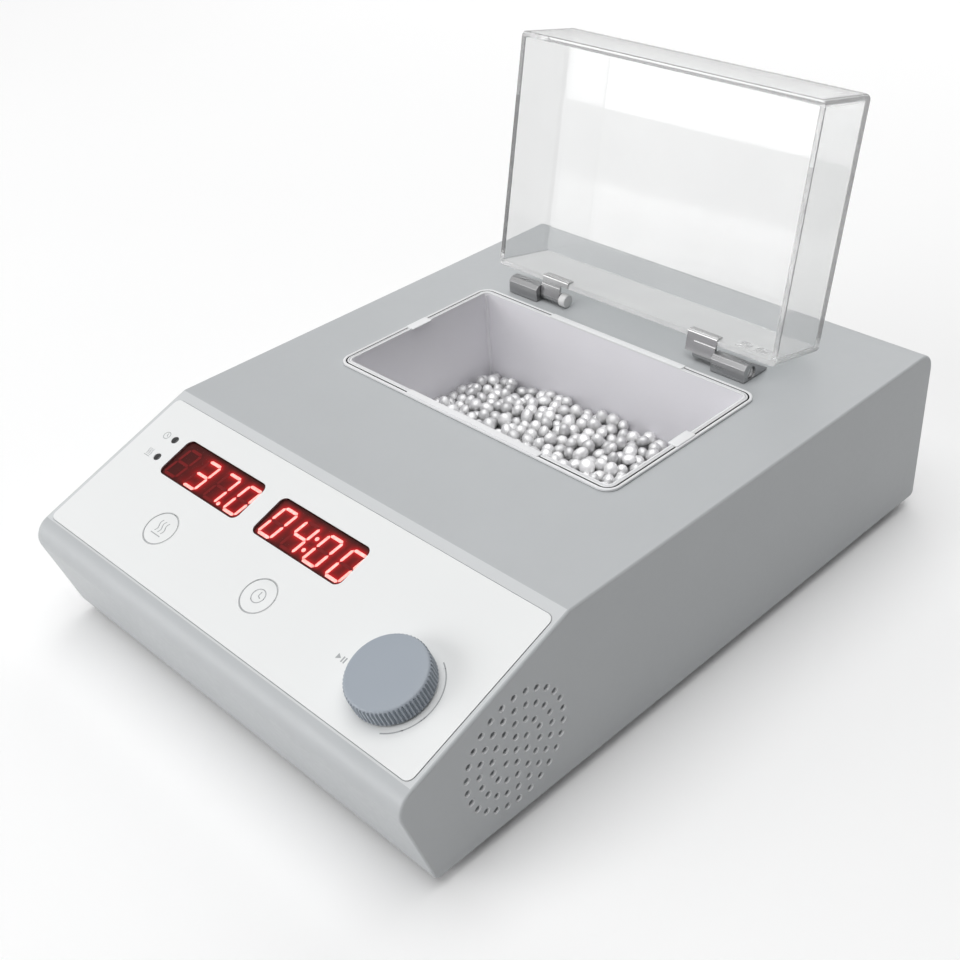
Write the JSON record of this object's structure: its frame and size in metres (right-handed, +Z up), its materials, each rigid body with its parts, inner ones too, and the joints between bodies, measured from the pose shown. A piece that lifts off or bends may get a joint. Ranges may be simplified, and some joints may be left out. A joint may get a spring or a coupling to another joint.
{
  "type": "dry block heater",
  "caption": "Bench-top dry block heater: wedge-fronted case with a bead bath, a hinged clear lid, a sloping panel with displays, keys and a knob.",
  "frame": {"origin": "on the table, under the middle of the overall length and width", "axes": "+X to the right of a person at the panel, +Y from the panel towards the rear wall, +Z up"},
  "size_m": [0.21, 0.2932, 0.1827],
  "materials": {
    "case_plastic": "fine satin, light grey",
    "rim_plastic": "satin, pale grey",
    "panel_film": "satin printed film, white",
    "display_window": "glossy, very dark red",
    "dark_plastic": "satin, black",
    "knob_plastic": "satin, blue grey",
    "lid_plastic": "clear, polished",
    "bright_steel": "bright, lightly brushed",
    "base_steel": "powder coated, grey",
    "block_aluminium": "machined",
    "bead_aluminium": "satin beads",
    "brass": "bright",
    "circuit_board": "solder mask, green",
    "heater_silicone": "matt, rust red",
    "white_felt": "fibrous, off white",
    "white_cable": "matt, off white",
    "foot_rubber": "matt, black"
  },
  "bodies": {
    "case": {"base_plate": "base_steel", "bead_bed": "bead_aluminium", "bead_tray": "rim_plastic", "board_standoff_left": "brass", "board_standoff_right": "brass", "control_board": "circuit_board", "display_module_left": "dark_plastic", "display_module_right": "dark_plastic", "display_window_left": "display_window", "display_window_right": "display_window", "encoder_body": "bright_steel", "foot_front_left": "foot_rubber", "foot_front_right": "foot_rubber", "foot_rear_left": "foot_rubber", "foot_rear_right": "foot_rubber", "foot_screw_front_left": "bright_steel", "foot_screw_front_right": "bright_steel", "foot_screw_rear_left": "bright_steel", "foot_screw_rear_right": "bright_steel", "front_overlay": "panel_film", "heat_indicator": "dark_plastic", "heat_switch": "dark_plastic", "heater_lead": "heater_silicone", "heater_pad": "heater_silicone", "heater_relay": "dark_plastic", "heating_block": "block_aluminium", "hinge_block_left": "bright_steel", "hinge_block_right": "bright_steel", "hinge_pin_left": "bright_steel", "hinge_pin_right": "bright_steel", "hinge_screw_left": "bright_steel", "hinge_screw_right": "bright_steel", "housing": "case_plastic", "insulation": "white_felt", "mains_fuse": "bright_steel", "mains_lead": "dark_plastic", "power_board": "circuit_board", "power_inlet": "dark_plastic", "power_supply": "dark_plastic", "power_switch_frame": "dark_plastic", "signal_cable": "white_cable", "temperature_sensor": "bright_steel", "thermal_cutout": "dark_plastic", "timer_indicator": "dark_plastic", "timer_switch": "dark_plastic", "well_rim": "rim_plastic"},
    "lid": {"lid": "lid_plastic", "lid_clip_left": "bright_steel", "lid_clip_right": "bright_steel"},
    "heat_key": {"heat_key": "panel_film"},
    "timer_key": {"timer_key": "panel_film"},
    "encoder_rotor": {"encoder_rotor": "brass"},
    "control_knob": {"control_knob": "knob_plastic", "encoder_shaft": "bright_steel"},
    "power_rocker": {"power_rocker": "dark_plastic"}
  },
  "joints": [
    {"name": "lid_hinge", "type": "hinge", "parent": "case", "child": "lid", "pos_m": [0, 0.0792, 0.0781], "axis": [1, 0, 0], "range_deg": [0, 101.4]},
    {"name": "heat_key_press", "type": "slide", "parent": "case", "child": "heat_key", "axis": [0, 0.3424, -0.9395], "range_m": [0, 0.0005], "stiffness_N_per_m": 2500},
    {"name": "timer_key_press", "type": "slide", "parent": "case", "child": "timer_key", "axis": [0, 0.3424, -0.9395], "range_m": [0, 0.0005], "stiffness_N_per_m": 2500},
    {"name": "knob_turn", "type": "hinge", "parent": "case", "child": "encoder_rotor", "pos_m": [0.0747, -0.11971, 0.05747], "axis": [0, -0.3424, 0.9395], "continuous": true},
    {"name": "knob_press", "type": "slide", "parent": "encoder_rotor", "child": "control_knob", "axis": [0, 0.3424, -0.9395], "range_m": [0, 0.0005], "stiffness_N_per_m": 4000},
    {"name": "power_rocker_tip", "type": "hinge", "parent": "case", "child": "power_rocker", "pos_m": [-0.02, 0.1408, 0.037], "axis": [1, 0, 0], "range_deg": [-18, 0]}
  ]
}
